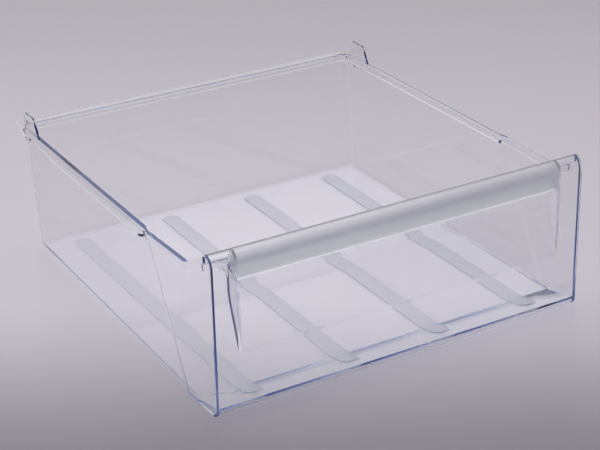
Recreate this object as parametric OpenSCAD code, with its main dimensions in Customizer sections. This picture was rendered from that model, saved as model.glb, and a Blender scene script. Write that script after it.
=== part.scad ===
// Clear freezer drawer: one injection moulding of clear polystyrene.
// Everything is worked out with depth y counted from the front face and then
// moved, so that the origin is the centre of the drawer's footprint.

/* [Drawer] */
// Width of the front panel
panel_w = 460; // [400:5:520]
// Height of the front panel
panel_h = 183; // [170:1:220]
// Depth from the front face to the outside of the back wall at the rim
tub_d = 490; // [400:5:560]
// How far the rim of the tub lies below the top of the front panel
rim_drop = 25.8; // [18:0.2:34]

/* [Walls] */
// Thickness of the side walls and the back wall
wall_t = 2.5; // [2:0.1:3.2]
// Thickness of the floor
floor_t = 2.8; // [2:0.1:3.6]
// How far a side wall leans in from the rim to the floor at the back
side_draft = 1; // [0.5:0.1:4]
// How far the back wall leans in from the rim to the floor
back_draft = 13; // [4:0.5:20]
// Outer radius of the upright rear corners at the rim
corner_r = 10; // [7:0.5:16]
// Outer radius of the floor's edge at the back
base_rear_r = 11; // [7:0.5:16]
// Outer radius of the floor's edge at the front panel
base_front_r = 5; // [4:0.5:8]

/* [Front panel] */
// Thickness of the front panel
panel_t = 3; // [2.4:0.1:4]
// Outer radius of the rolled top edge
roll_r = 12; // [9:0.5:14]
// Outer radius of the rolled foot
foot_r = 9; // [7:0.5:12]
// How far each end of the panel stands proud of the side wall
panel_end = 0.6; // [0.4:0.1:2]
// Length of the floor's ramp behind the panel
ramp_l = 50; // [35:1:80]
// Height of the ramp's underside at the panel
ramp_h = 8.4; // [6:0.2:12]

/* [Grip] */
// Distance from each end of the panel to the grip recess
grip_margin = 31; // [24:1:60]
// Height of the front lip above the recess
lip_h = 34.6; // [28:0.2:44]
// Height of the opening of the recess
grip_h = 78; // [50:1:90]
// Depth of the recess behind the front face
grip_depth = 22; // [16:0.5:30]
// Lean of the recess's back plate from the upright
grip_lean = 18.5; // [14:0.5:20]
// How far the recess's ceiling rises from the lip to the back plate
ceiling_rise = 11; // [6:0.5:13]
// Thickness of the cheeks at the ends of the recess
cheek_t = 3; // [2.4:0.1:4]
// Radius under the gusset between a cheek and the side wall
gusset_r = 16; // [8:1:20]

/* [Rim] */
// Height of the thickened band round the rim
band_h = 7.7; // [5:0.1:12]
// How far the band stands out from the wall
band_out = 2.8; // [1.5:0.1:4]
// Thickness of the slide rail under the band
rail_t = 3; // [2:0.1:5]
// How far the slide rail stands out from the band
rail_out = 4.4; // [3:0.2:8]
// Distance from the front face to the start of the slide rail
rail_start = 148; // [120:1:200]
// Distance from the end of the slide rail to the back of the tub
rail_gap = 40; // [20:1:80]
// How far the front shoulder of the side wall stands out
shoulder_out = 2.9; // [1:0.1:5]
// Reach of the shoulder along the rim
shoulder_top = 145; // [110:1:180]
// Reach of the shoulder along the floor
shoulder_foot = 60; // [40:1:90]
// Length over which the shoulder fades out towards the panel
shoulder_fade = 72; // [50:1:90]
// Width of the flange behind the back wall
flange_w = 15; // [8:0.5:20]
// How far short of the panel's ends the flange stops
flange_margin = 12; // [11:1:40]

/* [Rear stops] */
// Height of a stop fin above the rim
fin_h = 21; // [12:0.5:30]
// Length of a stop fin along the rim
fin_l = 40; // [25:1:60]
// Thickness of a stop fin
fin_t = 2.8; // [2:0.1:4]
// Distance from the back of the tub to the rear edge of a fin
fin_gap = 11; // [6:0.5:20]
// How far the upper prong reaches behind the back wall
prong_l = 24; // [17:1:40]
// Thickness of the prongs
prong_t = 3; // [2:0.1:4]

/* [Floor ribs] */
// Number of ribs on the floor
rib_n = 4; // [2:1:5]
// Width of a rib
rib_w = 21; // [12:1:28]
// Height of a rib above the floor
rib_h = 1.2; // [0.8:0.1:2.5]
// Distance from each end of the panel to the first rib's middle
rib_edge = 52.5; // [45:0.5:80]
// Distance from the front face to the ribs
rib_front = 16; // [12:1:40]
// Distance from the back of the tub at the rim to the ribs
rib_back = 30; // [28:1:60]

/* [Hidden] */

ball_fn = 32;
arc_n = 10;
round_fn = 64;
past = 1;

rim_z = panel_h - rim_drop;
overall_d = tub_d + prong_l;
wall_x = panel_w/2 - panel_end;
band_x = wall_x + band_out;

// The side wall's edge runs inside the thickness of the panel
seat = panel_t/2;
slope_l = 44;
slope_bend_r = 14;

// Points of the grip's section, seen from the drawer's side
lip_z = panel_h - lip_h;
grip_z = lip_z - grip_h;
grip_half = panel_w/2 - grip_margin;
grip_y = grip_depth - panel_t/2;
lean_rise = (grip_y - seat)/tan(grip_lean);
grip_top = lip_z + ceiling_rise + 3;
fold_r = 8;
plate_bend_r = 45;
lip_bend_r = 3;

// The forms below reach this far above the rim and in front of the panel
over_z = rim_drop + 20;
over_y = 20;
crease_w = 8;
crest_r = 12;
wedge_depth = 12;
shoulder_lift = 1;

// Stops and prongs lie this far inside the band's outer face
inset = 0.5;

tint = [0.84, 0.88, 0.94, 0.45];

// Points along an arc round c from angle a0 to angle a1
function arc(c, r, a0, a1) = [for (i = [0:arc_n]) let (a = a0 + (a1 - a0)*i/arc_n) c + r*[cos(a), sin(a)]];

function unit(v) = v/norm(v);
function left_of(v) = [-v[1], v[0]];

// Points of a bend of radius r that replaces the corner b between a and c
function bend(a, b, c, r) =
    let (
        u = unit(a - b),
        v = unit(c - b),
        half = acos(u*v)/2,
        centre = b + unit(u + v)*r/sin(half),
        from = b + u*r/tan(half) - centre,
        to = b + v*r/tan(half) - centre
    )
    [for (i = [0:arc_n]) centre + r*unit(from*(1 - i/arc_n) + to*i/arc_n)];

// Point i of the path p moved sideways by s
function beside(p, i, s) =
    let (
        before = i > 0 ? unit(p[i] - p[i - 1]) : unit(p[1] - p[0]),
        after = i < len(p) - 1 ? unit(p[i + 1] - p[i]) : before,
        n = unit(left_of(before) + left_of(after))
    )
    p[i] + n*s/(n*left_of(before));

// A strip of thickness t along the path p
module ribbon(p, t) {
    right = [for (i = [0:len(p) - 1]) beside(p, i, -t/2)];
    left = [for (i = [len(p) - 1:-1:0]) beside(p, i, t/2)];
    polygon(concat(right, left));
}

// A section drawn in depth and height, carried along x
module along_x(x0, x1) {
    translate([x0, 0, 0])
        rotate([90, 0, 90])
            linear_extrude(x1 - x0)
                children();
}

// A shape drawn in x and height, carried back from depth y0 to y1
module along_y(y0, y1) {
    translate([0, y1, 0])
        rotate([90, 0, 0])
            linear_extrude(y1 - y0)
                children();
}

module both_sides() {
    children();
    mirror([1, 0, 0]) children();
}

module ball(x, y, z, r) {
    translate([x, y, z]) sphere(r, $fn = ball_fn);
}

// Lean of the walls at height z, as a share of the whole draft
function lean(z) = 1 - z/rim_z;

// The tub's form before it is cut to its outline. grow is added to each
// radius, and lift raises the floor.
module tub_form(grow, lift) {
    top = rim_z + over_z;
    hull() {
        both_sides() {
            ball(
                wall_x - side_draft - base_rear_r,
                tub_d - back_draft - base_rear_r,
                base_rear_r + lift,
                base_rear_r + grow
            );
            ball(
                wall_x - side_draft*lean(top) - corner_r,
                tub_d - back_draft*lean(top) - corner_r,
                top,
                corner_r + grow
            );
            ball(wall_x - base_front_r, -over_y, base_front_r + lift, base_front_r + grow);
            ball(wall_x - corner_r, -over_y, top, corner_r + grow);
        }
    }
}

// The shoulder in front of the crease, as a wedge along the crease that stands
// out from the wall and fades out towards the panel
module shoulder_wedge(grow, base) {
    crease_lean = atan((shoulder_top - shoulder_foot)/rim_z);
    x = wall_x + grow;
    far = shoulder_fade*2;
    crest = [x + shoulder_out, 0];
    behind = [x - shoulder_out, crease_w*2];
    ahead = [x - shoulder_out, -far];
    both_sides() {
        intersection() {
            translate([0, shoulder_foot, 0])
                rotate([-crease_lean, 0, 0])
                    translate([0, 0, -panel_h])
                        linear_extrude(panel_h*3)
                            polygon(concat(
                                [behind - [wedge_depth, 0], behind],
                                bend(behind, crest, ahead, crest_r),
                                [ahead, ahead - [wedge_depth, 0]]
                            ));
            translate([0, -over_y, base]) cube([panel_w, tub_d, panel_h]);
        }
    }
}

// base is the height at which the shoulder starts above the floor's plane
module form(grow, lift, base) {
    tub_form(grow, lift);
    shoulder_wedge(grow, base);
}

// Top edge of the side wall from the rolled edge to the rim
slope_top = [roll_r, panel_h - seat];
slope_end = [roll_r + slope_l, rim_z];
rim_back = [tub_d + over_y, rim_z];

// Outline of the side wall, drawn in depth and height
module side_outline() {
    polygon(concat(
        arc([foot_r, foot_r], foot_r - seat, 270, 180),
        arc([roll_r, panel_h - roll_r], roll_r - seat, 180, 90),
        bend(slope_top, slope_end, rim_back, slope_bend_r),
        [rim_back, [tub_d + over_y, -past], [foot_r, -past]]
    ));
}

// Outline of the band, which follows the top edge of the wall
module band_outline() {
    low = [0, -band_h];
    edge = concat([slope_top], bend(slope_top, slope_end, rim_back, slope_bend_r), [rim_back]);
    polygon(concat(edge, [for (i = [len(edge) - 1:-1:0]) edge[i] + low]));
}

// Room inside the tub, above the floor and its ramp and open to the front,
// which the panel closes
module cavity_outline() {
    polygon([
        [-over_y, ramp_h + floor_t],
        [panel_t, ramp_h + floor_t],
        [ramp_l, floor_t - past/100],
        [ramp_l, -past],
        [tub_d + over_y, -past],
        [tub_d + over_y, panel_h + past],
        [-over_y, panel_h + past]
    ]);
}

// Room under the ramp, open towards the floor
module under_ramp() {
    half = wall_x - wall_t;
    along_x(-half, half)
        polygon([
            [panel_t, -past],
            [panel_t, ramp_h],
            [ramp_l - floor_t, 0],
            [ramp_l - floor_t - past*3, -past]
        ]);
}

module tub() {
    difference() {
        union() {
            intersection() {
                form(0, 0, shoulder_lift);
                along_x(-panel_w, panel_w) side_outline();
            }
            intersection() {
                form(band_out, 0, shoulder_lift);
                along_x(-panel_w, panel_w) band_outline();
            }
            both_sides() rail();
            both_sides() prongs();
            flange();
        }
        intersection() {
            form(-wall_t, floor_t - wall_t, floor_t + shoulder_lift);
            along_x(-panel_w, panel_w) cavity_outline();
        }
        under_ramp();
    }
    both_sides() fin();
}

// Slide rail at the foot of the band, round at the front and thin at the back
module rail() {
    z = rim_z - band_h - rail_t/2;
    x0 = wall_x - wall_t/2;
    x1 = band_x + rail_out;
    end = tub_d - rail_gap;
    taper = 60;
    translate([0, 0, z])
        linear_extrude(rail_t)
            polygon(concat(
                [[x0, rail_start]],
                arc([x1 - rail_out*1.5, rail_start + rail_out*1.5], rail_out*1.5, 270, 360),
                [[x1, end - taper], [band_x - inset*2, end], [x0, end]]
            ));
}

// Two prongs that reach past the back wall, with a slot between them
module prongs() {
    low = rim_z - band_h - prong_t*1.5;
    x0 = wall_x - wall_t/2;
    for (p = [[rim_z - band_h/2 - prong_t/2, prong_l], [low - prong_t/2, prong_l - 8]]) {
        along_x(x0, band_x - inset)
            polygon(concat(
                [[tub_d - corner_r*2, p[0]]],
                [[tub_d + p[1] - prong_t/2, p[0]]],
                arc([tub_d + p[1] - prong_t/2, p[0] + prong_t/2], prong_t/2, -90, 90),
                [[tub_d - corner_r*2, p[0] + prong_t]]
            ));
    }
}

// Flange behind the back wall, with its edge turned down
module flange() {
    half = panel_w/2 - flange_margin;
    t = wall_t;
    y1 = tub_d + flange_w;
    along_x(-half, half)
        polygon(concat(
            [[tub_d - t/2, rim_z - t], [y1 - t, rim_z - t], [y1 - t, rim_z - band_h], [y1, rim_z - band_h]],
            arc([y1 - t, rim_z - t], t, 0, 90),
            [[tub_d - t/2, rim_z]]
        ));
}

// Stop fin that stands on the rim near the back
module fin() {
    y1 = tub_d - fin_gap;
    y0 = y1 - fin_l;
    foot = rim_z - band_h/2;
    top = rim_z + fin_h;
    a = [y0, rim_z];
    b = [y0 + fin_h*0.55, top];
    c = [y1, top];
    d = [y1, foot];
    along_x(band_x - inset - fin_t, band_x - inset)
        polygon(concat([[y0, foot], a], bend(a, b, c, 4), bend(b, c, d, 3), [d]));
}

// Rolled top edge or rolled foot of the panel, as a quarter of a ring
module quarter_ring(c, r, up) {
    intersection() {
        translate(c) difference() {
            circle(r, $fn = round_fn);
            circle(r - panel_t, $fn = round_fn);
        }
        translate([0, up ? c[1] : c[1] - r]) square([c[0], r]);
    }
}

module rolls() {
    quarter_ring([roll_r, panel_h - roll_r], roll_r, true);
    quarter_ring([foot_r, foot_r], foot_r, false);
}

// Section of the panel beside the grip
module panel_section() {
    rolls();
    translate([0, foot_r]) square([panel_t, panel_h - roll_r - foot_r]);
}

// Path of the plate that leans back behind the grip
fold = [seat, grip_z];
knee = [grip_y, grip_z + lean_rise];
plate_top = [grip_y, grip_top];

plate_path = concat(
    [[seat, foot_r]],
    bend([seat, foot_r], fold, knee, fold_r),
    bend(fold, knee, plate_top, plate_bend_r),
    [plate_top]
);

// Path of the lip and of the ceiling behind it
lip_top = [seat, panel_h - roll_r];
lip_edge = [seat, lip_z + panel_t/2];
ceiling_end = [grip_y, lip_z + panel_t/2 + ceiling_rise];

lip_path = concat([lip_top], bend(lip_top, lip_edge, ceiling_end, lip_bend_r), [ceiling_end]);

// Section of the panel through the grip
module grip_section() {
    rolls();
    ribbon(plate_path, panel_t);
    ribbon(lip_path, panel_t);
}

// Outline of a cheek, from the fold up to the rolled edge
module cheek_outline() {
    back = [for (i = [0:len(plate_path) - 1]) beside(plate_path, i, -panel_t/2)];
    polygon(concat(
        [for (i = [1:len(back) - 1]) back[i]],
        [[roll_r, panel_h - panel_t/2]],
        arc([roll_r, panel_h - roll_r], roll_r - seat, 90, 180),
        [[seat, grip_z]]
    ));
}

// Web behind the panel between a cheek and the side wall
module gusset() {
    x0 = grip_half + cheek_t/2;
    x1 = wall_x - wall_t/2;
    z1 = plate_top[1] + panel_t*2;
    z0 = plate_top[1] - panel_t/2;
    along_y(grip_depth - panel_t, grip_depth)
        difference() {
            translate([x0, z0 - gusset_r]) square([x1 - x0, z1 - z0 + gusset_r]);
            translate([x0 + cheek_t/2 + gusset_r, z0 - gusset_r]) circle(gusset_r, $fn = round_fn);
            translate([x0 + cheek_t/2 + gusset_r, z0 - gusset_r - past]) square([x1 - x0, gusset_r + past]);
        }
}

module panel() {
    reach = grip_half + cheek_t/2;
    along_x(-reach, reach) grip_section();
    both_sides() {
        along_x(grip_half, panel_w/2) panel_section();
        along_x(grip_half, grip_half + cheek_t) cheek_outline();
        gusset();
    }
}

// Ribs that stiffen the floor and run up the ramp
module ribs() {
    pitch = (panel_w - 2*rib_edge)/(rib_n - 1);
    rear = tub_d - rib_back;
    top = [0, rib_h];
    floor_line = [[panel_t, ramp_h + floor_t], [ramp_l, floor_t], [rear, floor_t]];
    sunk = [0, -floor_t/2];
    intersection() {
        along_x(-panel_w/2, panel_w/2)
            polygon([
                floor_line[0] + top, floor_line[1] + top, floor_line[2] + top,
                floor_line[2] + sunk, floor_line[1] + sunk, floor_line[0] + sunk
            ]);
        for (i = [0:rib_n - 1]) {
            translate([rib_edge - panel_w/2 + i*pitch, 0, 0]) linear_extrude(ramp_h + floor_t + rib_h*2) {
                translate([-rib_w/2, rib_front + rib_w/2]) square([rib_w, rear - rib_front - rib_w]);
                translate([0, rib_front + rib_w/2]) circle(rib_w/2, $fn = round_fn);
                translate([0, rear - rib_w/2]) circle(rib_w/2, $fn = round_fn);
            }
        }
    }
}

module drawer() {
    color(tint)
        translate([0, -overall_d/2, 0]) {
            tub();
            panel();
            ribs();
        }
}

drawer();
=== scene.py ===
import math

import bpy
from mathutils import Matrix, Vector


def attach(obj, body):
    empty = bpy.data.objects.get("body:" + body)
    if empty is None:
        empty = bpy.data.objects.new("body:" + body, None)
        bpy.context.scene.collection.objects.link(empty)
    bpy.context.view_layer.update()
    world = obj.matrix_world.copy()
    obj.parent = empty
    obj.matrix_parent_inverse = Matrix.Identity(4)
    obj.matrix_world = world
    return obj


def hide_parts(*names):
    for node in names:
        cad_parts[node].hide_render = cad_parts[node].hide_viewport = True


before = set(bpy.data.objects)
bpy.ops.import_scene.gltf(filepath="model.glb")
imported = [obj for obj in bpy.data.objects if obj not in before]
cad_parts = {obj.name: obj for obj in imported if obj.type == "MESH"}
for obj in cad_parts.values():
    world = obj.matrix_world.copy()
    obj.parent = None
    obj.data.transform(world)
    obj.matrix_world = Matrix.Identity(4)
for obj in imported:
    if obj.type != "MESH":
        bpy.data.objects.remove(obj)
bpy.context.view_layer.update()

bl_info = {
    "name": "Clear freezer drawer",
    "version": (1, 0, 0),
    "blender": (4, 5, 0),
    "location": "3D View > Sidebar > Drawer",
    "description": "Builds the looks of a clear freezer drawer round its packed solid",
    "category": "Object",
}

MM = 0.001
SENSOR = 36.0
WELD = 0.01 * MM
FLAT_ANGLE = math.radians(0.4)
EDGE_ANGLE = math.radians(32)
TABLE_RADIUS = 6.0
TABLE_GAP = 0.02 * MM
CAMERA_PLACE = (-0.87758, -1.56758, 0.91534)
CAMERA_TURN = (64.457, 1.216, -30.341)
WHITE = (1.0, 1.0, 1.0)

# Name, place, target and size of each soft box, in metres
BACK_BOX = ("back_box", (1.6, 2.8, 1.7), (0.1, 0.1, 0.0), (5.8, 3.6))
TOP_BOX = ("top_box", (-0.2, 0.2, 2.4), (0.0, 0.0, 0.0), (3.2, 3.2))
SIDE_BOX = ("side_box", (-2.4, 0.6, 1.0), (0.0, 0.0, 0.1), (2.0, 1.6))


class DrawerLooks(bpy.types.PropertyGroup):
    """Finish of the moulding, with painted shade on the floor ribs"""

    edge_radius: bpy.props.FloatProperty(
        name="Edge radius",
        description="Radius of the moulding's outer edges",
        default=0.35 * MM,
        unit="LENGTH",
    )
    gloss_roughness: bpy.props.FloatProperty(
        name="Roughness",
        description="Roughness of the polished surface",
        default=0.02,
        subtype="FACTOR",
    )
    tint: bpy.props.FloatVectorProperty(
        name="Tint",
        description="Colour that long paths through the plastic take on",
        default=(0.42, 0.54, 0.80),
        subtype="COLOR",
    )
    tint_density: bpy.props.FloatProperty(
        name="Tint density",
        description="How strongly the plastic absorbs light, per metre",
        default=11.0,
    )
    shade: bpy.props.FloatVectorProperty(
        name="Shade",
        description="Share of the lamps' light that each face lets through to what is behind it",
        default=(0.955, 0.96, 0.965),
        subtype="COLOR",
    )
    ior: bpy.props.FloatProperty(
        name="Refractive index",
        description="Refractive index of clear polystyrene",
        default=1.59,
    )

    lip_half: bpy.props.FloatProperty(
        name="Lip half width",
        description="Half the width of the frosted lip over the grip",
        default=199.5 * MM,
        unit="LENGTH",
    )
    lip_foot: bpy.props.FloatProperty(
        name="Lip foot",
        description="Height at which the frosted lip begins",
        default=148.0 * MM,
        unit="LENGTH",
    )
    lip_back: bpy.props.FloatProperty(
        name="Lip back",
        description="Depth at which the frosting of the rolled edge ends",
        default=-243.0 * MM,
        unit="LENGTH",
    )
    lip_frost: bpy.props.FloatProperty(
        name="Lip frost",
        description="Added roughness of the frosted lip",
        default=0.42,
        subtype="FACTOR",
    )
    rib_pitch: bpy.props.FloatProperty(
        name="Rib pitch",
        description="Distance between the middles of neighbouring floor ribs",
        default=118.333 * MM,
        unit="LENGTH",
    )
    rib_width: bpy.props.FloatProperty(
        name="Rib width",
        description="Width of a floor rib",
        default=21.0 * MM,
        unit="LENGTH",
    )
    rib_top: bpy.props.FloatProperty(
        name="Rib top",
        description="Height under which a face belongs to the ribs",
        default=14.0 * MM,
        unit="LENGTH",
    )
    rib_front: bpy.props.FloatProperty(
        name="Rib front",
        description="Depth at which the ribs begin",
        default=-241.0 * MM,
        unit="LENGTH",
    )
    rib_rear: bpy.props.FloatProperty(
        name="Rib rear",
        description="Depth at which the ribs end",
        default=203.0 * MM,
        unit="LENGTH",
    )
    rib_frost: bpy.props.FloatProperty(
        name="Rib frost",
        description="Added roughness of the ribs",
        default=0.28,
        subtype="FACTOR",
    )
    # Painted shade: the ribs are the same plastic as the rest of the moulding, drawn slightly darker
    rib_painted_shade: bpy.props.FloatVectorProperty(
        name="Rib colour",
        # Painted shade on the ribs: share of light that their faces let through, lower than the rest of
        # the same plastic
        description="Share of light that the ribs' faces let through",
        default=(0.9, 0.9, 0.91),
        subtype="COLOR",
    )


class StageLooks(bpy.types.PropertyGroup):
    """Floor, light and camera"""

    floor_colour: bpy.props.FloatVectorProperty(
        name="Floor",
        description="Colour of the table top",
        default=(0.80, 0.75, 0.82),
        subtype="COLOR",
    )
    near_painted_shade: bpy.props.FloatVectorProperty(
        name="Near floor",
        # Painted shade of the table top towards the viewer, where the light falls off
        description="Colour of the table top towards the viewer, where the light falls off",
        default=(0.34, 0.312, 0.365),
        subtype="COLOR",
    )
    far_painted_shade: bpy.props.FloatVectorProperty(
        name="Far floor",
        # Painted shade of the table top far behind the drawer
        description="Colour of the table top far behind the drawer",
        default=(0.54, 0.50, 0.55),
        subtype="COLOR",
    )
    fade_from: bpy.props.FloatProperty(
        name="Fade start",
        # Place along the depth axis from which the table fades to the far painted shade
        description="Place along the depth axis from which the table fades to the far colour",
        default=0.1,
        unit="LENGTH",
    )
    fade_to: bpy.props.FloatProperty(
        name="Fade end",
        description="Place along the depth axis where the table has its far colour",
        default=1.3,
        unit="LENGTH",
    )
    depth_axis: bpy.props.FloatVectorProperty(
        name="Depth axis",
        description="Direction over the table in which it gets lighter",
        default=(0.505, 0.863, 0.0),
    )
    dim_from: bpy.props.FloatProperty(
        name="Dim edge",
        # Place along the depth axis where the painted shade on the table is darkest
        description="Place along the depth axis where the table is darkest",
        default=-0.44,
        unit="LENGTH",
    )
    dim_to: bpy.props.FloatProperty(
        name="Light edge",
        description="Place along the depth axis from which the table is fully lit",
        default=-0.06,
        unit="LENGTH",
    )
    world_colour: bpy.props.FloatVectorProperty(
        name="Surroundings",
        description="Colour of the soft light from all round",
        default=(0.82, 0.80, 0.85),
        subtype="COLOR",
    )
    world_strength: bpy.props.FloatProperty(
        name="Surroundings' strength",
        description="Strength of the soft light from all round",
        default=0.26,
    )
    back_power: bpy.props.FloatProperty(
        name="Back light",
        description="Power of the wide soft box behind the drawer",
        default=38.0,
        unit="POWER",
    )
    top_power: bpy.props.FloatProperty(
        name="Top light",
        description="Power of the soft box over the drawer",
        default=32.0,
        unit="POWER",
    )
    side_power: bpy.props.FloatProperty(
        name="Side light",
        description="Power of the soft box to the left of the drawer",
        default=7.0,
        unit="POWER",
    )
    light_bounces: bpy.props.IntProperty(
        name="Light bounces",
        description="How often a light path may turn inside the clear plastic",
        default=200,
    )
    lens: bpy.props.FloatProperty(
        name="Lens",
        description="Focal length on a 36 mm sensor",
        default=100.757,
    )


class Link:
    """A socket of a node tree that takes part in Python expressions."""

    def __init__(self, tree, socket):
        self.tree = tree
        self.socket = socket

    def math(self, operation, *others):
        node = self.tree.nodes.new("ShaderNodeMath")
        node.operation = operation
        for slot, value in zip(node.inputs, (self, *others)):
            plug(self.tree, slot, value)
        return Link(self.tree, node.outputs[0])

    def __add__(self, other):
        return self.math("ADD", other)

    __radd__ = __add__

    def __mul__(self, other):
        return self.math("MULTIPLY", other)

    __rmul__ = __mul__

    def __sub__(self, other):
        return self.math("SUBTRACT", other)

    def __rsub__(self, other):
        return (self * -1.0) + other

    def below(self, limit):
        return self.math("LESS_THAN", limit)

    def above(self, limit):
        return self.math("GREATER_THAN", limit)


def plug(tree, slot, value):
    """Give a socket a value, or link it."""
    if isinstance(value, Link):
        tree.links.new(value.socket, slot)
    elif value is not None:
        slot.default_value = value


def find_slot(node, name):
    """The input called name, with spaces for underscores, or the one whose identifier is name."""
    for slot in node.inputs:
        if slot.identifier == name or slot.name == name.replace("_", " "):
            return slot
    raise KeyError(name)


class Shader:
    """A material's node tree, with one method for every node that isn't maths."""

    def __init__(self, name):
        self.material = bpy.data.materials.new(name)
        self.material.use_nodes = True
        self.tree = self.material.node_tree
        self.tree.nodes.clear()

    def node(self, kind, settings=None, output=0, **values):
        made = self.tree.nodes.new("ShaderNode" + kind)
        for name, value in (settings or {}).items():
            setattr(made, name, value)
        for name, value in values.items():
            plug(self.tree, find_slot(made, name), value)
        return Link(self.tree, made.outputs[output])

    def blend(self, factor, first, second):
        """One colour where factor is 0 and the other where it is 1."""
        return self.node(
            "Mix", {"data_type": "RGBA"}, output=2, Factor_Float=factor, A_Color=first, B_Color=second
        )

    def rise(self, value, start, end):
        """A smooth step from 0 at start to 1 at end."""
        smooth = {"interpolation_type": "SMOOTHSTEP"}
        ends = {"From_Min": start, "From_Max": end, "To_Min": 0.0, "To_Max": 1.0}
        return self.node("MapRange", smooth, Value=value, **ends)

    def noise(self, place, scale, detail, roughness=0.5):
        """Soft noise in space."""
        solid = {"noise_dimensions": "3D"}
        return self.node("TexNoise", solid, Vector=place, Scale=scale, Detail=detail, Roughness=roughness)

    def parts(self, vector):
        """The three parts of a vector."""
        apart = self.node("SeparateXYZ", Vector=vector).socket.node
        return [Link(self.tree, part) for part in apart.outputs]

    def finish(self, surface, volume=None):
        end = self.tree.nodes.new("ShaderNodeOutputMaterial")
        plug(self.tree, end.inputs["Surface"], surface)
        if volume is not None:
            plug(self.tree, end.inputs["Volume"], volume)
        return self.material


def clear_polystyrene(looks):
    """Clear moulded plastic: water-clear through a wall, blue through a long way of it."""
    s = Shader("clear_polystyrene")
    place = s.node("TexCoord", output="Object")
    x, y, z = s.parts(place)
    across = x.math("ABSOLUTE")
    lip = across.below(looks.lip_half) * y.below(looks.lip_back) * z.above(looks.lip_foot)
    rib = (across - looks.rib_pitch / 2).math("ABSOLUTE").below(looks.rib_width / 2)
    rib = rib + (across - looks.rib_pitch * 1.5).math("ABSOLUTE").below(looks.rib_width / 2)
    rib = rib * z.below(looks.rib_top) * y.above(looks.rib_front) * y.below(looks.rib_rear)
    wave = s.noise(place, 14.0, 1.0, 0.4)
    grain = s.noise(place, 900.0, 2.0, 0.6)
    haze = s.noise(place, 22.0, 4.0, 0.6)
    roughness = haze * 0.03 + looks.gloss_roughness + lip * looks.lip_frost + rib * looks.rib_frost
    # Painted shade: where the rib mask is set, the same clear plastic lets less light through
    clarity_with_painted_rib_shade = s.blend(rib, (*WHITE, 1.0), (*looks.rib_painted_shade, 1.0))
    ripple = s.node("Bump", Strength=0.12, Distance=1.2 * MM, Height=wave + grain * 0.01)
    surface = s.node(
        "BsdfPrincipled",
        Base_Color=clarity_with_painted_rib_shade,
        Roughness=roughness,
        IOR=looks.ior,
        Transmission_Weight=1.0,
        Normal=ripple,
    )
    lamp_ray = s.node("LightPath", output="Is Shadow Ray")
    open_to_lamps = s.node("BsdfTransparent", Color=(*looks.shade, 1.0))
    surface = s.node("MixShader", Fac=lamp_ray, Shader=surface, Shader_001=open_to_lamps)
    depth = s.node("VolumeAbsorption", Color=(*looks.tint, 1.0), Density=looks.tint_density)
    return s.finish(surface, depth)


def table_top(stage):
    """Smooth pale table with a faint sheen, and painted light: darker towards the viewer and far behind
    the drawer.
    """
    s = Shader("table_top")
    place = s.node("TexCoord", output="Object")
    cloud = s.noise(place, 1.2, 2.0)
    along = {"operation": "DOT_PRODUCT"}
    depth = s.node("VectorMath", along, output=1, Vector=place, Vector_001=stage.depth_axis)
    # Painted light and shade: a lit band across the table, with painted shade towards the viewer and far
    # behind the drawer
    lit = s.rise(depth, stage.dim_from, stage.dim_to)
    far = s.rise(depth, stage.fade_from, stage.fade_to)
    colour = s.blend(lit, (*stage.near_painted_shade, 1.0), (*stage.floor_colour, 1.0))
    colour = s.blend(far, colour, (*stage.far_painted_shade, 1.0))
    surface = s.node(
        "BsdfPrincipled",
        Base_Color=colour,
        Roughness=cloud * 0.06 + 0.22,
        IOR=1.35,
    )
    return s.finish(surface)


def only(piece):
    """Select one object and nothing else, and make it the active one."""
    bpy.ops.object.select_all(action="DESELECT")
    piece.select_set(True)
    bpy.context.view_layer.objects.active = piece


def modify(piece, kind, **settings):
    """Add a modifier and apply it at once."""
    only(piece)
    bpy.ops.object.modifier_add(type=kind)
    modifier = piece.modifiers[-1]
    for name, value in settings.items():
        setattr(modifier, name, value)
    bpy.ops.object.modifier_apply(modifier=modifier.name)


def finish_with(piece, material):
    piece.data.materials.clear()
    piece.data.materials.append(material)


class DRAWER_OT_moulding(bpy.types.Operator):
    """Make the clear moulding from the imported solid, with smooth curves and broken edges"""

    bl_idname = "drawer.moulding"
    bl_label = "Clear moulding"

    def execute(self, context):
        looks = context.scene.drawer_looks
        only(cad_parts["drawer"])
        bpy.ops.object.duplicate()
        piece = context.view_layer.objects.active
        piece.name = "drawer_moulding"
        bpy.ops.object.mode_set(mode="EDIT")
        bpy.ops.mesh.select_all(action="SELECT")
        bpy.ops.mesh.customdata_custom_splitnormals_clear()
        bpy.ops.mesh.remove_doubles(threshold=WELD)
        bpy.ops.mesh.dissolve_limited(angle_limit=FLAT_ANGLE)
        bpy.ops.object.mode_set(mode="OBJECT")
        modify(
            piece,
            "BEVEL",
            width=looks.edge_radius,
            segments=2,
            limit_method="ANGLE",
            angle_limit=EDGE_ANGLE,
            use_clamp_overlap=True,
        )
        only(piece)
        bpy.ops.object.shade_smooth()
        modify(piece, "WEIGHTED_NORMAL", mode="FACE_AREA", weight=50, keep_sharp=True)
        finish_with(piece, clear_polystyrene(looks))
        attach(piece, "root")
        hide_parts("drawer")
        return {"FINISHED"}


class DRAWER_OT_stage(bpy.types.Operator):
    """Lay the table, light it and set the camera at the photograph's view"""

    bl_idname = "drawer.stage"
    bl_label = "Stage"

    def execute(self, context):
        stage = context.scene.stage_looks
        lay_table(stage)
        light_room(context.scene, stage)
        set_camera(context.scene, stage)
        return {"FINISHED"}


def lay_table(stage):
    bpy.ops.object.select_all(action="DESELECT")
    bpy.ops.mesh.primitive_circle_add(
        vertices=96, radius=TABLE_RADIUS, fill_type="NGON", location=(0, 0, -TABLE_GAP)
    )
    table = bpy.context.view_layer.objects.active
    table.name = "table_top"
    bpy.ops.object.transform_apply(location=True, rotation=True, scale=True)
    finish_with(table, table_top(stage))


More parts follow.
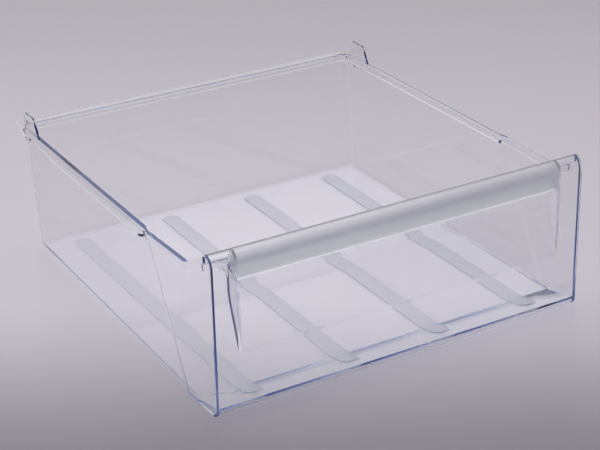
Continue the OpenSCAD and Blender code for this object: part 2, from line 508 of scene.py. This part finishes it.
def soft_box(name, location, target, size, power):
    """A white area lamp that faces its target."""
    lamp = bpy.data.lights.new(name, "AREA")
    lamp.shape = "RECTANGLE"
    lamp.size, lamp.size_y = size
    lamp.energy = power
    lamp.color = WHITE
    box = bpy.data.objects.new(name, lamp)
    bpy.context.scene.collection.objects.link(box)
    box.location = location
    aim = Vector(target) - Vector(location)
    box.rotation_euler = aim.to_track_quat("-Z", "Y").to_euler()


def light_room(scene, stage):
    soft_box(*BACK_BOX, stage.back_power)
    soft_box(*TOP_BOX, stage.top_power)
    soft_box(*SIDE_BOX, stage.side_power)
    world = bpy.data.worlds.new("soft_room")
    scene.world = world
    world.use_nodes = True
    glow = world.node_tree.nodes["Background"]
    glow.inputs["Color"].default_value = (*stage.world_colour, 1.0)
    glow.inputs["Strength"].default_value = stage.world_strength


def set_camera(scene, stage):
    lens = bpy.data.cameras.new("photo_view")
    lens.lens = stage.lens
    lens.sensor_width = SENSOR
    camera = bpy.data.objects.new("photo_view", lens)
    scene.collection.objects.link(camera)
    camera.location = CAMERA_PLACE
    camera.rotation_euler = [math.radians(turn) for turn in CAMERA_TURN]
    scene.camera = camera
    scene.view_settings.view_transform = "Standard"
    scene.cycles.max_bounces = stage.light_bounces
    scene.cycles.transmission_bounces = stage.light_bounces
    scene.cycles.glossy_bounces = stage.light_bounces


class DRAWER_PT_panel(bpy.types.Panel):
    """Lists the drawer's steps and sizes"""

    bl_idname = "DRAWER_PT_panel"
    bl_label = "Freezer drawer"
    bl_space_type = "VIEW_3D"
    bl_region_type = "UI"
    bl_category = "Drawer"

    def draw(self, context):
        for looks in (context.scene.drawer_looks, context.scene.stage_looks):
            for name in looks.__annotations__:
                self.layout.prop(looks, name)
        for step in STEPS:
            self.layout.operator(step.bl_idname)


STEPS = (DRAWER_OT_moulding, DRAWER_OT_stage)
CLASSES = (DrawerLooks, StageLooks, *STEPS, DRAWER_PT_panel)


def register():
    for each in CLASSES:
        bpy.utils.register_class(each)
    bpy.types.Scene.drawer_looks = bpy.props.PointerProperty(type=DrawerLooks)
    bpy.types.Scene.stage_looks = bpy.props.PointerProperty(type=StageLooks)


def unregister():
    del bpy.types.Scene.stage_looks
    del bpy.types.Scene.drawer_looks
    for each in reversed(CLASSES):
        bpy.utils.unregister_class(each)


def main():
    register()
    bpy.ops.drawer.moulding()
    bpy.ops.drawer.stage()


if __name__ == "__main__":
    main()
